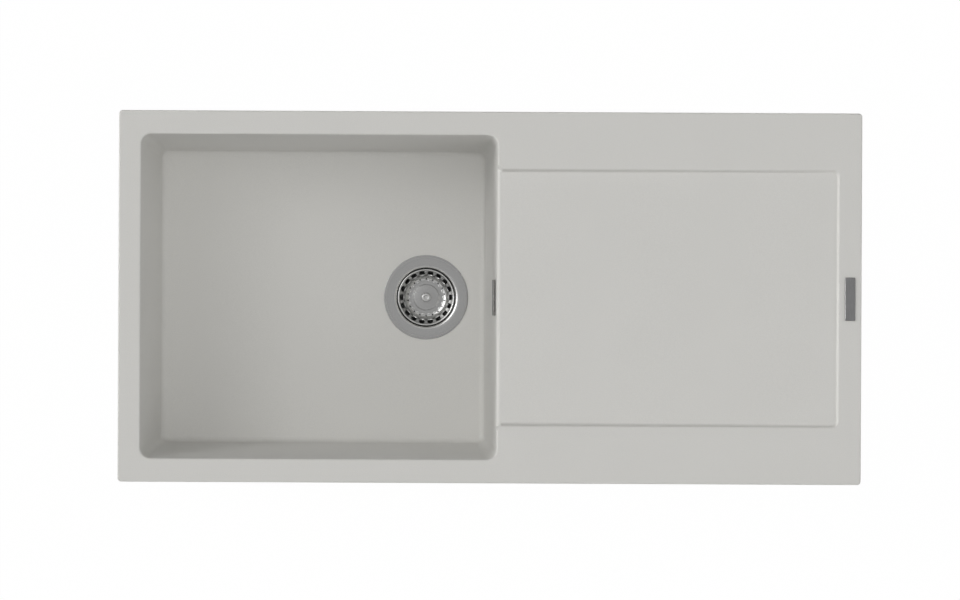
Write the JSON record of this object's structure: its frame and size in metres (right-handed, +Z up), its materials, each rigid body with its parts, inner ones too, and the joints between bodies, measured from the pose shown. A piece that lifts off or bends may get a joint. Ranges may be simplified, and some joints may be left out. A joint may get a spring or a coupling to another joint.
{
  "type": "kitchen sink with drainboard",
  "caption": "Inset mineral-composite kitchen sink: a large bowl beside a recessed drainboard, with strainer waste, bowl overflow and swing-out fixing clips.",
  "frame": {"origin": "middle of the sink's outline, on the worktop's surface where the rim rests", "axes": "+X along the sink from the bowl to the drainboard, +Y to the back, +Z up"},
  "size_m": [1, 0.5, 0.2986],
  "materials": {
    "composite": "fine-grained matt",
    "steel": "satin",
    "plate_metal": "dark satin",
    "adhesive": "matt",
    "seal_rubber": "matt",
    "waste_plastic": "matt white",
    "hose_plastic": "satin",
    "brass": "turned",
    "nylon": "matt",
    "zinc": "zinc plated"
  },
  "bodies": {
    "sink": {"sink_basin": "composite", "rim_plate": "plate_metal", "rim_plate_pad": "adhesive", "waste_flange": "steel", "clamp_screw": "steel", "clamp_nut": "brass", "upper_gasket": "seal_rubber", "lower_gasket": "seal_rubber", "overflow_gasket": "seal_rubber", "hose_washer_upper": "seal_rubber", "hose_washer_lower": "seal_rubber", "waste_body": "waste_plastic", "overflow_elbow": "waste_plastic", "hose_union_upper": "waste_plastic", "hose_union_lower": "waste_plastic", "overflow_hose": "hose_plastic", "overflow_cover": "steel", "overflow_screw": "steel", "clip_anchors": "nylon"},
    "strainer": {"strainer_stem": "steel", "basket_seal": "seal_rubber", "backing_washer": "steel", "basket_knob": "steel"},
    "basket": {"basket": "steel"},
    "clip_screw_1": {"clip_screw_1": "zinc"},
    "clip_claw_1": {"clip_claw_1": "zinc"},
    "clip_screw_2": {"clip_screw_2": "zinc"},
    "clip_claw_2": {"clip_claw_2": "zinc"},
    "clip_screw_3": {"clip_screw_3": "zinc"},
    "clip_claw_3": {"clip_claw_3": "zinc"},
    "clip_screw_4": {"clip_screw_4": "zinc"},
    "clip_claw_4": {"clip_claw_4": "zinc"},
    "clip_screw_5": {"clip_screw_5": "zinc"},
    "clip_claw_5": {"clip_claw_5": "zinc"},
    "clip_screw_6": {"clip_screw_6": "zinc"},
    "clip_claw_6": {"clip_claw_6": "zinc"}
  },
  "joints": [
    {"name": "basket_lift", "type": "slide", "parent": "sink", "child": "strainer", "axis": [0, 0, 1], "range_m": [0, 0.26]},
    {"name": "basket_turn", "type": "hinge", "parent": "strainer", "child": "basket", "pos_m": [-0.088, 0, -0.218], "axis": [0, 0, 1], "continuous": true},
    {"name": "clip_tighten_1", "type": "slide", "parent": "sink", "child": "clip_screw_1", "axis": [0, 0, 1], "range_m": [0, 0.012]},
    {"name": "clip_swing_1", "type": "hinge", "parent": "clip_screw_1", "child": "clip_claw_1", "pos_m": [-0.32, -0.234, -0.044], "axis": [0, 0, 1], "range_deg": [0, 90]},
    {"name": "clip_tighten_2", "type": "slide", "parent": "sink", "child": "clip_screw_2", "axis": [0, 0, 1], "range_m": [0, 0.012]},
    {"name": "clip_swing_2", "type": "hinge", "parent": "clip_screw_2", "child": "clip_claw_2", "pos_m": [0.32, -0.234, -0.044], "axis": [0, 0, 1], "range_deg": [0, 90]},
    {"name": "clip_tighten_3", "type": "slide", "parent": "sink", "child": "clip_screw_3", "axis": [0, 0, 1], "range_m": [0, 0.012]},
    {"name": "clip_swing_3", "type": "hinge", "parent": "clip_screw_3", "child": "clip_claw_3", "pos_m": [0.484, 0, -0.044], "axis": [0, 0, 1], "range_deg": [0, 90]},
    {"name": "clip_tighten_4", "type": "slide", "parent": "sink", "child": "clip_screw_4", "axis": [0, 0, 1], "range_m": [0, 0.012]},
    {"name": "clip_swing_4", "type": "hinge", "parent": "clip_screw_4", "child": "clip_claw_4", "pos_m": [0.32, 0.234, -0.044], "axis": [0, 0, 1], "range_deg": [0, 90]},
    {"name": "clip_tighten_5", "type": "slide", "parent": "sink", "child": "clip_screw_5", "axis": [0, 0, 1], "range_m": [0, 0.012]},
    {"name": "clip_swing_5", "type": "hinge", "parent": "clip_screw_5", "child": "clip_claw_5", "pos_m": [-0.32, 0.234, -0.044], "axis": [0, 0, 1], "range_deg": [0, 90]},
    {"name": "clip_tighten_6", "type": "slide", "parent": "sink", "child": "clip_screw_6", "axis": [0, 0, 1], "range_m": [0, 0.012]},
    {"name": "clip_swing_6", "type": "hinge", "parent": "clip_screw_6", "child": "clip_claw_6", "pos_m": [-0.484, 0, -0.044], "axis": [0, 0, 1], "range_deg": [0, 90]}
  ]
}
